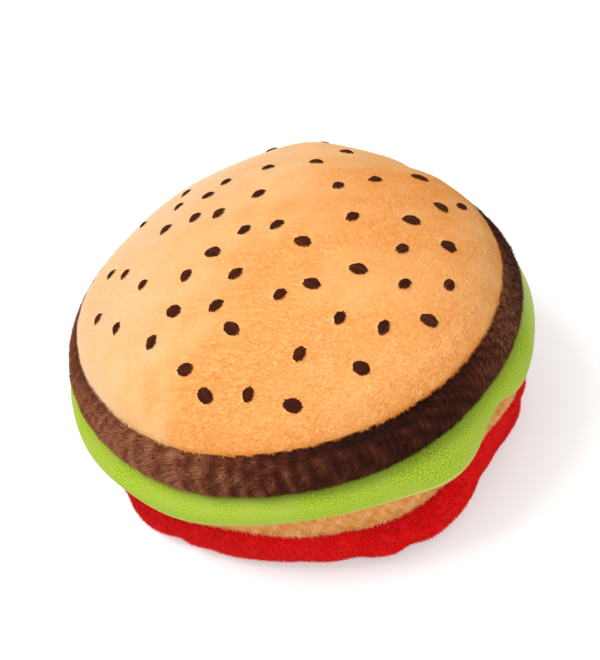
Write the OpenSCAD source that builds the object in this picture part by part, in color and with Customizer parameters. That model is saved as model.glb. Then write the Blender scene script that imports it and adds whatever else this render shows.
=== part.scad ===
// Stuffed plush hamburger: stitched fabric shells around a fibre filling with a squeaker.
// Millimetres. +Z is up. The origin is on the floor, under the middle of the toy.
// The strips' side joins are at the back, on the +Y side.

/* [Bun top] */
// Radius of the seam between the bun top and the patty
crown_r = 80; // [70:1:90]
// Height of the bun top above that seam
crown_rise = 37; // [32:0.5:42]
// Radius of the round shoulder just above that seam
shoulder_r = 20; // [16:0.5:24]

/* [Patty band] */
// Height of the patty band
patty_h = 16.4; // [12:0.2:20]
// How much wider the patty band is at its lower seam
patty_spread = 4.4; // [2:0.2:6]
// How far the patty band bulges past a straight line
patty_bulge = 3; // [1:0.25:4]

/* [Lettuce collar] */
// Thickness of one layer of the folded fleece
fleece_t = 1.6; // [1:0.1:2]
// How far outside the side band's upper seam the fold hangs
collar_reach = 4.6; // [4.2:0.2:6]
// Height of the fold's lower edge above the floor
hem_z = 36; // [32:0.5:39]
// How far the lower edge waves up and down
hem_wave = 2.5; // [0:0.25:3]
// How far the lower edge waves in and out
hem_flare = 0.8; // [0:0.1:1]
// Number of waves around the collar
hem_waves = 6; // [2:2:10]

/* [Bun side band] */
// Height of the lower bun's side band
side_h = 23.4; // [18:0.2:28]
// Radius of the side band at its upper seam
side_top_r = 80.8; // [79:0.2:82]
// Radius of the side band at its lower seam
side_low_r = 80.5; // [79:0.1:82]
// How far the side band bulges past a straight line
side_bulge = 1.5; // [0.5:0.25:2]

/* [Tomato band] */
// Height of the tomato band
tomato_h = 21; // [16:0.5:26]
// How full the tomato band's curve is, where 2 is an ellipse
tomato_fullness = 3; // [2.4:0.1:3.4]
// Number of gathers around the tomato band
gathers = 20; // [8:2:30]
// Depth of one gather
gather_depth = 1.2; // [0:0.1:1.4]

/* [Base panel] */
// Radius of the round panel that the toy stands on
base_r = 66; // [56:1:70]

/* [Sewing] */
// Thickness of the pile fabric
pile_t = 2; // [1.8:0.1:3]
// Width of the seam allowance inside the toy
allow_w = 6; // [4:0.5:8]
// Thickness of one seam allowance, pressed flat
allow_t = 1.2; // [0.8:0.1:1.6]
// Diameter of the sewing thread
thread_d = 0.5; // [0.3:0.1:0.8]
// Number of hand stitches that close the filling gap
close_count = 12; // [4:1:20]
// Distance between two hand stitches
close_pitch = 5; // [3:0.5:7]
// Length of a hand stitch
close_len = 3; // [2:0.5:4]

/* [Sesame seeds] */
// Length of an embroidered seed
seed_len = 7.6; // [5:0.2:9]
// Width of an embroidered seed
seed_w = 5.6; // [3:0.2:7]
// How far a seed stands above the fabric
seed_proud = 0.7; // [0.3:0.1:1.2]
// Thickness of the backing cloth under the embroidery
backing_t = 0.4; // [0.2:0.1:0.8]
// Radius of the backing cloth, seen from above
backing_r = 70; // [60:1:74]

/* [Squeaker] */
// Radius of the squeaker's bulb
bulb_r = 21; // [18:0.5:26]
// Half of the bulb's thickness
bulb_rise = 11; // [9:0.5:13]
// Radius of the bulb's round rim
bulb_rim = 8; // [6:0.5:8]
// Wall of the bulb
bulb_wall = 0.9; // [0.6:0.1:1.4]
// Outer radius of the bulb's neck
neck_r = 7; // [6:0.25:8]
// Length of the neck below the bulb
neck_len = 6; // [4:0.5:8]
// Radius of the air hole through the insert
air_hole_r = 1.6; // [1:0.1:2]
// Thickness of the insert's flange
flange_t = 1; // [0.6:0.1:1.5]
// Length of the reed
reed_len = 8; // [6:0.5:9]
// Width of the reed
reed_w = 2.6; // [2:0.2:3.2]
// Thickness of the reed
reed_t = 0.25; // [0.15:0.05:0.4]

/* [Filling] */
// Clearance between the filling and what it is packed against
fill_gap = 0.1; // [0.05:0.05:0.3]

/* [Hidden] */
$fn = 96;

// Distance that an inner edge keeps from its neighbour
edge_clear = 1;
// How far two shapes of one piece run into each other, so that they are one solid
weld = 0.5;
// How far a cutting shape reaches past what it cuts
cut_over = 1;
// Height of the squeaker's middle above the top of the lettuce's seam
squeaker_lift = 2.4;
// Distance from the side band to where the lettuce turns down, and the height of that turn
collar_start = 1.2;
collar_turn = 3;
// How far the lettuce swells past its hanging radius
collar_swell = 0.7;
// Radius of the bun top that the seeds' distances are laid out for
seed_plan_r = 80;

// Heights of the seams above the floor
tomato_z = tomato_h;
collar_low_z = tomato_z + side_h;
collar_high_z = collar_low_z + 2 * fleece_t;
crown_z = collar_high_z + patty_h;
squeaker_z = collar_high_z + squeaker_lift;
top_z = crown_z + crown_rise;

patty_low_r = crown_r + patty_spread;
collar_r = side_top_r + collar_reach;

// A band is [upper radius, upper height, lower radius, lower height, bulge]
patty = [crown_r, crown_z, patty_low_r, collar_high_z, patty_bulge];
side = [side_top_r, collar_low_z, side_low_r, tomato_z, side_bulge];

// Inner radius of the seam allowances at each level seam
crown_allow_r = crown_r - pile_t - allow_w;
collar_allow_r = side_top_r - pile_t - allow_w + edge_clear;
tomato_allow_r = side_low_r - pile_t - allow_w;
base_allow_h = pile_t + allow_w;

// Inner radius of the strips' side joins, at the back
patty_join_r = (crown_r + patty_low_r) / 2 - pile_t - allow_w;
side_join_r = (side_top_r + side_low_r) / 2 - pile_t - allow_w;

// Steps around the swept pieces, and a size larger than the toy for cutting shapes
sweep_steps = 120;
big = 200;

// Seeds: [distance from the middle, bearing, turn of the long axis], bearing 270 is the front
SEEDS = [
    [6, 303, 25], [9, 196, 30], [17, 93, 35], [20, 302, -25], [21, 141, 40],
    [23, 201, -30], [27, 236, 25], [30, 346, 35], [31, 25, 35], [31, 145, 30],
    [35, 203, 40], [36, 266, 30], [36, 284, -35], [37, 119, 30], [38, 80, -20],
    [39, 103, -20], [41, 234, 30], [41, 309, -25], [43, 57, -10], [43, 150, 35],
    [46, 22, -10], [47, 213, -35], [49, 187, 30], [49, 246, -40], [49, 331, 20],
    [50, 130, 35], [50, 349, -20], [51, 287, 50], [55, 316, 30], [56, 172, 30],
    [58, 269, 50], [59, 119, 30], [59, 213, 35], [60, 53, -10], [61, 298, 55],
    [63, 231, -50], [63, 341, -35], [64, 2, 20], [64, 22, -20], [64, 165, 30],
    [64, 195, 40], [67, 83, -15], [67, 326, 45], [68, 252, 50], [68, 285, -45],
    [68, 311, -30], [69, 184, 25], [70, 240, 60], [71, 134, 35], [73, 6, 30],
    [73, 66, -20], [73, 264, -45]];

// Radius of the dome's cap, so that the cap meets the shoulder smoothly
function cap_radius(radius, rise, rim) =
    (pow(radius - rim, 2) + rise * rise - rim * rim) / (2 * (rise - rim));

// Distance from the axis where the cap meets the shoulder
function cap_edge(radius, rise, rim) =
    let (cap = cap_radius(radius, rise, rim))
    (radius - rim) * cap / (cap - rim);

crown_cap_r = cap_radius(crown_r, crown_rise, shoulder_r);
crown_cap_edge = cap_edge(crown_r, crown_rise, shoulder_r);

// Height of the bun top's surface above its seam, at a distance from the axis
function crown_height(r) = r < crown_cap_edge
    ? sqrt(crown_cap_r * crown_cap_r - r * r) - (crown_cap_r - crown_rise)
    : sqrt(shoulder_r * shoulder_r - pow(r - (crown_r - shoulder_r), 2));

// Slope of the bun top's surface at a distance from the axis
function crown_slope(r) = r < crown_cap_edge
    ? asin(r / crown_cap_r)
    : asin((r - (crown_r - shoulder_r)) / shoulder_r);

// A band's arc: its chord, radius and centre
function band_chord(b) = norm([b[0] - b[2], b[1] - b[3]]);
function band_radius(b) = (pow(band_chord(b), 2) / 4 + b[4] * b[4]) / (2 * b[4]);
function band_centre(b) =
    [b[0] + b[2], b[1] + b[3]] / 2
    - [b[1] - b[3], b[2] - b[0]] * (band_radius(b) - b[4]) / band_chord(b);

// Inner radius of a band's fabric at a height
function band_inner_r(b, z) =
    band_centre(b)[0]
    + sqrt(pow(band_radius(b) - pile_t, 2) - pow(z - band_centre(b)[1], 2));

// The tomato band's curve, from its upper seam at 0 degrees to the base seam at 90 degrees
function tomato_point(a, inset) =
    let (power = 2 / tomato_fullness,
         wide = side_low_r - base_r,
         r = base_r + wide * pow(cos(a), power),
         z = tomato_h * (1 - pow(sin(a), power)))
    [r - inset * cos(a), z + inset * sin(a)];

// How deep the tomato band's gathers are, at a bearing and an angle down the curve
function gather(bearing, a) =
    gather_depth * sin(2 * a) * pow(1 - abs(sin(gathers * bearing / 2)), 2);

// A half outline of a dome with a round shoulder, standing on the line y = 0
module dome_outline(radius, rise, rim, inset) {
    cap = cap_radius(radius, rise, rim);
    edge = cap_edge(radius, rise, rim);
    intersection() {
        translate([0, rise - cap]) circle(cap - inset);
        square([edge - inset * edge / cap, rise]);
    }
    intersection() {
        translate([radius - rim, 0]) circle(rim - inset);
        square([radius, rise]);
    }
}

// A half outline of a band's inside, from the axis to its arc
module band_outline(b, inset, extra) {
    centre = band_centre(b);
    low = b[3] - extra;
    tall = b[1] - b[3] + 2 * extra;
    intersection() {
        union() {
            translate(centre) circle(band_radius(b) - inset);
            translate([0, low]) square([centre[0], tall]);
        }
        translate([0, low]) square([big, tall]);
    }
}

// The fabric of a band, as a half outline
module band_fabric(b) {
    difference() {
        band_outline(b, 0, 0);
        band_outline(b, pile_t, cut_over);
    }
}

// A seam allowance that lies level inside the toy, as a half outline
module level_allowance(inner_r, outer_r, low_z) {
    translate([inner_r, low_z]) square([outer_r - inner_r, allow_t]);
}

// Two rows of stitching, one on each face of a level seam
module level_stitching(r, low_z, high_z) {
    for (z = [low_z - thread_d / 2, high_z + thread_d / 2])
        translate([0, 0, z]) rotate_extrude() translate([r, 0]) circle(thread_d / 2);
}

// The two ends of a strip, stitched together and turned inwards at the back
module join_tab(b, inner_r) {
    end_room = allow_t + edge_clear;
    intersection() {
        rotate_extrude() band_outline(b, pile_t / 2, 0);
        translate([-allow_t, inner_r, b[3] + end_room])
            cube([2 * allow_t, big, b[1] - b[3] - 2 * end_room]);
    }
}

// Stitching on both faces of a strip's side join
module join_stitching(inner_r, low_z, high_z) {
    end_room = allow_t + edge_clear;
    for (side_x = [-1, 1])
        translate([side_x * (allow_t + thread_d / 2), inner_r + allow_w / 2, low_z + end_room])
            cylinder(h = high_z - low_z - 2 * end_room, d = thread_d);
}

module bun_crown() {
    color([0.98, 0.72, 0.42])
        translate([0, 0, crown_z]) rotate_extrude() {
            difference() {
                dome_outline(crown_r, crown_rise, shoulder_r, 0);
                dome_outline(crown_r, crown_rise, shoulder_r, pile_t);
            }
            level_allowance(crown_allow_r, crown_r - pile_t - weld, 0);
            translate([crown_r - pile_t - weld, 0]) square([2 * weld, allow_t]);
        }
}

// One seed's outline, a lens with its long axis along X
module seed_blank() {
    arc_r = (seed_len * seed_len + seed_w * seed_w) / (4 * seed_w);
    linear_extrude(height = seed_len, center = true) intersection() {
        translate([0, arc_r - seed_w / 2]) circle(arc_r);
        translate([0, seed_w / 2 - arc_r]) circle(arc_r);
    }
}

module sesame_seeds() {
    color([0.27, 0.12, 0.08])
        translate([0, 0, crown_z]) intersection() {
            rotate_extrude() difference() {
                dome_outline(crown_r + seed_proud, crown_rise + seed_proud,
                             shoulder_r + seed_proud, 0);
                dome_outline(crown_r, crown_rise, shoulder_r, 0);
            }
            for (seed = SEEDS)
                let (r = seed[0] * crown_r / seed_plan_r)
                rotate([0, 0, seed[1]]) translate([r, 0, crown_height(r)])
                    rotate([0, crown_slope(r), 0]) rotate([0, 0, seed[2] - seed[1]])
                        seed_blank();
        }
}

module embroidery_backing() {
    color([0.95, 0.94, 0.9])
        translate([0, 0, crown_z]) rotate_extrude() intersection() {
            difference() {
                dome_outline(crown_r, crown_rise, shoulder_r, pile_t);
                dome_outline(crown_r, crown_rise, shoulder_r, pile_t + backing_t);
            }
            translate([0, allow_t + thread_d]) square([backing_r, big]);
        }
}

module patty_band() {
    color([0.36, 0.2, 0.15]) {
        rotate_extrude() {
            band_fabric(patty);
            level_allowance(crown_allow_r, band_inner_r(patty, crown_z) + weld,
                            crown_z - allow_t);
            level_allowance(collar_allow_r, band_inner_r(patty, collar_high_z) + weld,
                            collar_high_z);
        }
        join_tab(patty, patty_join_r);
    }
}

// The lettuce's centre line in section: level through the seam, then down to the hem
function bezier(p0, p1, p2, p3, t) =
    p0 * pow(1 - t, 3) + 3 * p1 * t * pow(1 - t, 2) + 3 * p2 * t * t * (1 - t) + p3 * pow(t, 3);
function collar_line(bearing, t) =
    let (mid_z = collar_low_z + fleece_t,
         turn_r = side_top_r + collar_start,
         hem_r = collar_r + hem_flare * cos(hem_waves * (bearing - 227)),
         low_z = hem_z + hem_wave * cos(hem_waves * (bearing - 257)) + fleece_t)
    t < 0 ? [turn_r + t * (turn_r - collar_allow_r), mid_z]
          : bezier([turn_r, mid_z], [collar_r + collar_swell, mid_z],
                   [collar_r + collar_swell, mid_z - collar_turn], [hem_r, low_z], t);
function collar_normal(bearing, t) =
    let (step = collar_line(bearing, t + 0.01) - collar_line(bearing, t - 0.01))
    [-step[1], step[0]] / norm(step);

// The lettuce's section: out along the upper face, round the hem, back along the lower face
COLLAR_T = [-1, 0, 0.15, 0.3, 0.45, 0.6, 0.8, 1];
function collar_section(bearing) = concat(
    [for (t = COLLAR_T) collar_line(bearing, t) + fleece_t * collar_normal(bearing, t)],
    [for (turn = [45, 90, 135])
        let (n = collar_normal(bearing, 1))
        collar_line(bearing, 1)
        + fleece_t * [n[0] * cos(turn) + n[1] * sin(turn), n[1] * cos(turn) - n[0] * sin(turn)]],
    [for (i = [len(COLLAR_T) - 1 : -1 : 0])
        collar_line(bearing, COLLAR_T[i]) - fleece_t * collar_normal(bearing, COLLAR_T[i])]);

// A closed ring swept around the axis from sections of equal length
module swept_ring(sections) {
    rings = len(sections);
    count = len(sections[0]);
    points = [for (i = [0 : rings - 1]) for (p = sections[i])
        [p[0] * cos(360 * i / rings), p[0] * sin(360 * i / rings), p[1]]];
    faces = [for (i = [0 : rings - 1]) for (j = [0 : count - 1])
        let (a = i * count + j,
             b = i * count + (j + 1) % count,
             c = ((i + 1) % rings) * count + (j + 1) % count,
             d = ((i + 1) % rings) * count + j)
        for (triangle = [[a, b, c], [a, c, d]]) triangle];
    polyhedron(points, faces, convexity = 6);
}

module lettuce_collar() {
    color([0.7, 0.83, 0.27])
        swept_ring([for (i = [0 : sweep_steps - 1]) collar_section(360 * i / sweep_steps)]);
}

module bun_side_band() {
    color([0.9, 0.66, 0.42]) {
        rotate_extrude() {
            band_fabric(side);
            level_allowance(collar_allow_r, band_inner_r(side, collar_low_z) + weld,
                            collar_low_z - allow_t);
            level_allowance(tomato_allow_r, band_inner_r(side, tomato_z) + weld, tomato_z);
        }
        join_tab(side, side_join_r);
    }
}

// The tomato band's section: down the gathered outside, then up the smooth inside
TOMATO_DOWN = [0, 8, 18, 28, 38, 48, 58, 68, 79, 90];
TOMATO_UP = [86, 79, 68, 58, 48, 38, 28, 18];
function tomato_section(bearing) = concat(
    [for (a = TOMATO_DOWN) tomato_point(a, gather(bearing, a))],
    [[base_r, base_allow_h], [base_r + allow_t, base_allow_h], [base_r + allow_t, pile_t]],
    [for (a = TOMATO_UP) let (p = tomato_point(a, pile_t))
        if (p[0] > base_r + allow_t && p[1] < tomato_z - allow_t) p],
    [[side_low_r - pile_t, tomato_z - allow_t],
     [tomato_allow_r, tomato_z - allow_t], [tomato_allow_r, tomato_z]]);

module tomato_band() {
    color([0.82, 0.05, 0.07])
        swept_ring([for (i = [0 : sweep_steps - 1]) tomato_section(360 * i / sweep_steps)]);
}

module bun_base() {
    // The panel just clears the flats of the swept tomato band around it
    panel_r = base_r * cos(180 / sweep_steps);
    color([0.9, 0.66, 0.42]) {
        cylinder(h = pile_t, r = panel_r);
        difference() {
            cylinder(h = base_allow_h, r = panel_r);
            translate([0, 0, -cut_over])
                cylinder(h = base_allow_h + 2 * cut_over, r = base_r - allow_t);
        }
    }
}

// Room inside the filling for a level seam's allowances and stitching, as a half outline
module seam_room(inner_r, low_z, high_z) {
    room = thread_d + fill_gap;
    translate([inner_r - fill_gap, low_z - room]) square([big, high_z - low_z + 2 * room]);
}

// The inside of the fabric, as a half outline
module inside_outline() {
    translate([0, crown_z])
        dome_outline(crown_r, crown_rise, shoulder_r, pile_t + backing_t + fill_gap);
    band_outline(patty, pile_t + fill_gap, 0);
    translate([0, collar_low_z - cut_over])
        square([collar_allow_r - fill_gap, 2 * (fleece_t + cut_over)]);
    band_outline(side, pile_t + fill_gap, 0);
    polygon(concat(
        [[0, tomato_z + cut_over], [0, pile_t]],
        [for (i = [0 : len(TOMATO_UP) - 1]) tomato_point(TOMATO_UP[i], pile_t + fill_gap)],
        [[side_low_r - pile_t - fill_gap, tomato_z], [tomato_allow_r, tomato_z + cut_over]]));
}

// The whole filling as one revolved outline, with room for the seams and the squeaker
module filling_outline() {
    difference() {
        inside_outline();
        seam_room(crown_allow_r, crown_z - allow_t, crown_z + allow_t);
        seam_room(collar_allow_r, collar_low_z - allow_t, collar_high_z + allow_t);
        seam_room(tomato_allow_r, tomato_z - allow_t, tomato_z + allow_t);
        translate([base_r - allow_t - thread_d - fill_gap, 0])
            square([2 * (allow_t + thread_d + fill_gap), base_allow_h + fill_gap]);
        translate([0, squeaker_z]) bulb_outline(0);
        translate([0, squeaker_z - bulb_rise - neck_len - flange_t])
            square([neck_r, bulb_rise + neck_len + flange_t]);
    }
}

// Room in the filling for the strips' side joins and their stitching
module join_room(inner_r, low_z, high_z) {
    half_w = allow_t + thread_d + fill_gap;
    translate([-half_w, inner_r - fill_gap, low_z])
        cube([2 * half_w, big, high_z - low_z]);
}

module filling_part(low_z, high_z) {
    difference() {
        rotate_extrude() intersection() {
            filling_outline();
            translate([0, low_z]) square([big, high_z - low_z]);
        }
        join_room(patty_join_r, collar_high_z, crown_z);
        join_room(side_join_r, tomato_z, collar_low_z);
    }
}

module upper_filling() {
    color([0.97, 0.97, 0.95]) filling_part(squeaker_z, top_z);
}

module lower_filling() {
    color([0.93, 0.93, 0.91]) filling_part(0, squeaker_z);
}

// Half outline of the squeaker's bulb, a disc with a round rim
module bulb_outline(inset) {
    intersection() {
        union() {
            dome_outline(bulb_r, bulb_rise, bulb_rim, inset);
            mirror([0, 1]) dome_outline(bulb_r, bulb_rise, bulb_rim, inset);
        }
        translate([0, -big / 2]) square([big, big]);
    }
}

module squeaker_bulb() {
    color([0.93, 0.93, 0.9])
        translate([0, 0, squeaker_z]) rotate_extrude() difference() {
            union() {
                bulb_outline(0);
                translate([0, -bulb_rise - neck_len])
                    square([neck_r, neck_len + bulb_wall]);
            }
            bulb_outline(bulb_wall);
            translate([0, -bulb_rise - neck_len - cut_over])
                square([neck_r - bulb_wall, neck_len + bulb_wall + 2 * cut_over]);
        }
}

module squeaker_insert() {
    low_z = squeaker_z - bulb_rise - neck_len;
    color([0.85, 0.86, 0.88])
        difference() {
            union() {
                translate([0, 0, low_z])
                    cylinder(h = neck_len - edge_clear, r = neck_r - bulb_wall);
                translate([0, 0, low_z - flange_t]) cylinder(h = flange_t, r = neck_r);
            }
            translate([0, 0, low_z - 2 * flange_t])
                cylinder(h = neck_len + 3 * flange_t, r = air_hole_r);
        }
}

module squeaker_reed() {
    color([0.75, 0.77, 0.8])
        translate([-reed_len / 2, -reed_w / 2, squeaker_z - bulb_rise - edge_clear])
            cube([reed_len, reed_w, reed_t]);
}

module crown_seam_thread() {
    color([0.95, 0.8, 0.6])
        level_stitching(crown_allow_r + allow_w / 2, crown_z - allow_t, crown_z + allow_t);
}

module collar_seam_thread() {
    color([0.6, 0.75, 0.3])
        level_stitching(collar_allow_r + allow_w / 2 - edge_clear, collar_low_z - allow_t,
                        collar_high_z + allow_t);
}

module tomato_seam_thread() {
    color([0.8, 0.1, 0.1])
        level_stitching(tomato_allow_r + allow_w / 2, tomato_z - allow_t, tomato_z + allow_t);
}

module base_seam_thread() {
    color([0.8, 0.1, 0.1])
        for (r = [base_r - allow_t - thread_d / 2, base_r + allow_t + thread_d / 2])
            translate([0, 0, base_allow_h - 4 * thread_d]) rotate_extrude()
                translate([r, 0]) circle(thread_d / 2);
}

module patty_join_thread() {
    color([0.25, 0.14, 0.1])
        join_stitching(patty_join_r, collar_high_z, crown_z);
}

module side_join_thread() {
    color([0.85, 0.62, 0.4])
        join_stitching(side_join_r, tomato_z, collar_low_z);
}

// Hand stitches across the valley between the side band and the tomato band, at the back
module closing_stitches() {
    stitch_r = side_low_r + close_len * 4 * side_bulge / side_h / 2 + thread_d / 2 + fill_gap;
    pitch_angle = close_pitch / side_low_r * 180 / PI;
    color([0.85, 0.5, 0.35])
        for (i = [0 : close_count - 1])
            rotate([0, 0, 90 + (i - (close_count - 1) / 2) * pitch_angle])
                translate([stitch_r, 0, tomato_z - close_len / 2])
                    cylinder(h = close_len, d = thread_d);
}

bun_crown();
sesame_seeds();
embroidery_backing();
patty_band();
lettuce_collar();
bun_side_band();
tomato_band();
bun_base();
upper_filling();
lower_filling();
squeaker_bulb();
squeaker_insert();
squeaker_reed();
crown_seam_thread();
collar_seam_thread();
tomato_seam_thread();
base_seam_thread();
patty_join_thread();
side_join_thread();
closing_stitches();
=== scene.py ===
# %% [markdown]
# # A stuffed hamburger, sewn from pile fabric
# The toy is one closed fabric bag of five panels: bun top, patty, side band, tomato and base.
# A folded fleece collar, the lettuce, is caught in the seam under the patty. The construction
# model is loaded first and stays fixed, so every piece here is made where that model says.

# %% Load the construction model
import math

import bpy
import numpy as np
from mathutils import Matrix, Vector
from mathutils.bvhtree import BVHTree


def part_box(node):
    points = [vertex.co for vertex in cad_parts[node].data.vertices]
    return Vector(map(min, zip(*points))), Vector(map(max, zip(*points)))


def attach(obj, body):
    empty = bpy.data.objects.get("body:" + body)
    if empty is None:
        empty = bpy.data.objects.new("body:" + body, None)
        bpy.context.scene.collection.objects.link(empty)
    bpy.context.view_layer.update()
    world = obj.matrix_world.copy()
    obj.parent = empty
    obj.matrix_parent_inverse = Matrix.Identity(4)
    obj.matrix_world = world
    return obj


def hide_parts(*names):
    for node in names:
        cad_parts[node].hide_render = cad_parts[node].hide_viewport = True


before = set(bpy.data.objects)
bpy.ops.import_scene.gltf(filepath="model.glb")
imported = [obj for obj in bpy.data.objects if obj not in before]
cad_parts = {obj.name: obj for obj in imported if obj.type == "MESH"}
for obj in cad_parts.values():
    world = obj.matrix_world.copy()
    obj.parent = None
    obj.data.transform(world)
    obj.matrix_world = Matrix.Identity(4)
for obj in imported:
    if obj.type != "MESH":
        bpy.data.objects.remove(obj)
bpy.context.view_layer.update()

# %% [markdown]
# ## Measures
# The seams are where the panels meet, so their heights and the bun top's radius come from the
# boxes of the sewn parts, and the other radii are given. The fabric's backing lies a little
# below the tips of its pile.

# %% Seam heights and radii
MM = 0.001
AROUND = 200
SINK = 1.1 * MM

crown_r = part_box("bun_crown")[1].x
crown_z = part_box("bun_crown")[0].z
top_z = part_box("bun_crown")[1].z
patty_low_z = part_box("patty_band")[0].z
side_top_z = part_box("bun_side_band")[1].z
tomato_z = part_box("tomato_band")[1].z
patty_low_r = 84.4 * MM
side_top_r = 80.8 * MM
side_low_r = 80.5 * MM
base_r = 66 * MM
bearing = np.arange(AROUND) * 2 * np.pi / AROUND
print("seams at", [round(z * 1000, 1) for z in (tomato_z, side_top_z, patty_low_z, crown_z)])

# %% [markdown]
# ## Hand-sewn seams are never level
# Each seam rises and dips where the cloth was eased or pulled. A few bumps, each with a bearing,
# a lift and a width, describe that well. Bearing 270 is the front.


# %% Seam lines that rise and dip
def hill_at(angles, centre, width):
    """A smooth hill from 0 to 1 at one bearing, with its half width in degrees."""
    away = (angles - centre + 180) % 360 - 180
    return np.exp(-((away / width) ** 2) / 2)


def bump(centre, width):
    return hill_at(np.degrees(bearing), centre, width)


def wavy(height, bumps):
    return height + sum(lift * MM * bump(centre, width) for centre, lift, width in bumps)


def ring(r, z):
    """One row of points round the toy."""
    return np.stack([r * np.cos(bearing), r * np.sin(bearing), z + np.zeros(AROUND)], axis=1)


# bearing (degrees), lift (mm) and half width (degrees)
CROWN_SEAM = [(232, -2.4, 14), (285, 0.5, 14), (330, 0.8, 12), (20, -0.7, 15), (120, 0.8, 18)]
PATTY_SEAM = [(231, -1.6, 12), (317, 2.2, 12), (345, 3, 12), (60, 1, 15), (130, -1.2, 15)]
TOMATO_SEAM = [(239, 4, 10), (284, -2.6, 9), (315, 5, 10), (339, -4, 8), (205, 0.6, 10),
               (35, 2.2, 12), (75, -2, 10), (122, 2.4, 12), (165, -1.6, 10)]
crown_seam = wavy(crown_z, CROWN_SEAM)
patty_seam = wavy(patty_low_z, PATTY_SEAM)
side_seam = wavy(side_top_z, PATTY_SEAM)
tomato_seam = wavy(tomato_z, TOMATO_SEAM)

# %% [markdown]
# ## The bag in rows
# The whole bag is one grid: rows run from the top centre down to the base centre, and each row
# goes once round the toy. One grid keeps the seams closed while the cloth is inflated, and it
# is cut into panels afterwards.

# %% Rows of the bun top
CROWN_ROWS, PATTY_ROWS, SIDE_ROWS, TOMATO_ROWS, BASE_ROWS = 33, 8, 10, 14, 14
GROOVE_W = 2 * MM
shoulder = (15 + 2 * bump(72, 12) - 7 * bump(138, 24) - 4 * bump(28, 16)) * MM


def groove(from_seam, depth=1.2):
    return depth * MM * np.exp(-((from_seam / GROOVE_W) ** 2))


def crown_rows():
    rise = top_z - crown_z
    mid = crown_r - shoulder
    cap = (mid ** 2 + rise ** 2 - shoulder ** 2) / (2 * (rise - shoulder))
    edge_angle = np.arcsin(mid / (cap - shoulder))
    cap_len, turn_len = cap * edge_angle, shoulder * (np.pi / 2 - edge_angle)
    rows = []
    for share in np.linspace(0.012, 1, CROWN_ROWS):
        along = share * (cap_len + turn_len)
        on_cap = along < cap_len
        a = np.where(on_cap, along / cap, edge_angle + (along - cap_len) / shoulder)
        reach = np.where(on_cap, cap, shoulder) - SINK
        r = np.where(on_cap, 0, mid) + reach * np.sin(a) - groove(cap_len + turn_len - along, 0.25)
        z = np.where(on_cap, top_z - cap, crown_z) + reach * np.cos(a)
        rows.append(np.stack([r, z + (crown_seam - crown_z) * share ** 6], axis=1))
    return rows


# %% Rows of the bands, the tomato and the base
wales = 0.45 * MM * np.sin(36 * bearing + 2 * np.sin(5 * bearing))
wales *= 0.25 + bump(240, 24) + 0.6 * bump(60, 30)


def band_rows(r_top, z_top, r_low, z_low, bulge, count, ripple=0):
    rows = []
    for t in np.linspace(0, 1, count):
        height = abs(float(np.mean(z_top - z_low)))
        from_seam = min(t, 1 - t) * height
        r = r_top + (r_low - r_top) * t + 4 * bulge * t * (1 - t) - SINK - groove(from_seam)
        r = r + ripple * math.sin(math.pi * t) + 0.5 * MM * (t == 0)
        rows.append(np.stack([r + np.zeros(AROUND), z_top + (z_low - z_top) * t], axis=1))
    return rows


GATHERS = [(18 * i + 5 * math.sin(2.3 * i), 1.6 + 0.9 * math.sin(1.7 * i)) for i in range(20)]
gather = sum(depth * bump(at, 2.4) for at, depth in GATHERS) * MM
fat = (8.5 * bump(286, 12) + 1.8 * bump(301, 6) - 2 * bump(320, 11) + 3.5 * bump(348, 13)
       + 4.8 * bump(206, 11) - 1.2 * bump(247, 9)) * MM


def tomato_rows():
    rows, power = [], 2 / 3
    for t in np.linspace(0, 1, TOMATO_ROWS):
        a = t * math.pi / 2
        out = math.cos(a) ** power if t < 1 else 0
        inset = SINK + groove(t * 30 * MM) + gather * math.sin(2 * a) ** 0.7
        inset = inset - fat * math.sin(2 * a) ** 0.8
        r = base_r + (side_low_r - base_r) * out - inset * math.cos(a)
        z = tomato_seam * (1 - math.sin(a) ** power) + SINK * math.sin(a)
        rows.append(np.stack([r, z], axis=1))
    return rows


def base_rows():
    return [np.stack([np.full(AROUND, base_r * (1 - t) + 1.5 * MM * t), np.full(AROUND, SINK)],
                     axis=1) for t in np.linspace(0, 1, BASE_ROWS)]


# %% Join the rows into the bag
parts = [crown_rows(),
         band_rows(crown_r, crown_seam, patty_low_r, patty_seam, 3 * MM, PATTY_ROWS, wales)[1:],
         band_rows(side_top_r, side_seam, side_low_r, tomato_seam, 1.5 * MM, SIDE_ROWS),
         tomato_rows()[1:], base_rows()[1:]]
sections = np.array([row for part in parts for row in part])
bag = np.array([ring(section[:, 0], section[:, 1]) for section in sections])
crown_end = CROWN_ROWS - 1
patty_end = crown_end + PATTY_ROWS - 1
side_start = patty_end + 1
side_end = side_start + SIDE_ROWS - 1
tomato_end = side_end + TOMATO_ROWS - 1
print("bag:", bag.shape[0], "rows of", AROUND, "points")

# %% [markdown]
# ## Lumps of filling
# Loose fibre packs unevenly, so the dome has a high side, a flatter side and soft creases where
# the cloth folds. Each lump is a smooth hill or hollow, longer one way than the other.

# %% Push the lumps into the dome
# x, y, height, half length, half width (mm) and turn (degrees)
LUMPS = [(22, 62, 3.5, 9, 9, 0), (-14, 66, -1.3, 10, 10, 0), (-50, 44, -5.2, 18, 15, 40),
         (50, 42, -4, 12, 4, 20), (60, 8, 1.2, 20, 14, 90), (-30, -40, 0.9, 22, 16, 30),
         (18, -52, -0.8, 14, 7, 60), (58, -38, -1.1, 16, 4, 55), (66, -22, -1, 14, 3.5, 70),
         (-60, -30, -0.8, 12, 4, 130), (10, 5, 0.8, 22, 18, 0), (-5, -66, 0.8, 14, 8, 0),
         (-70, 8, 0.8, 12, 10, 90)]


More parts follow.
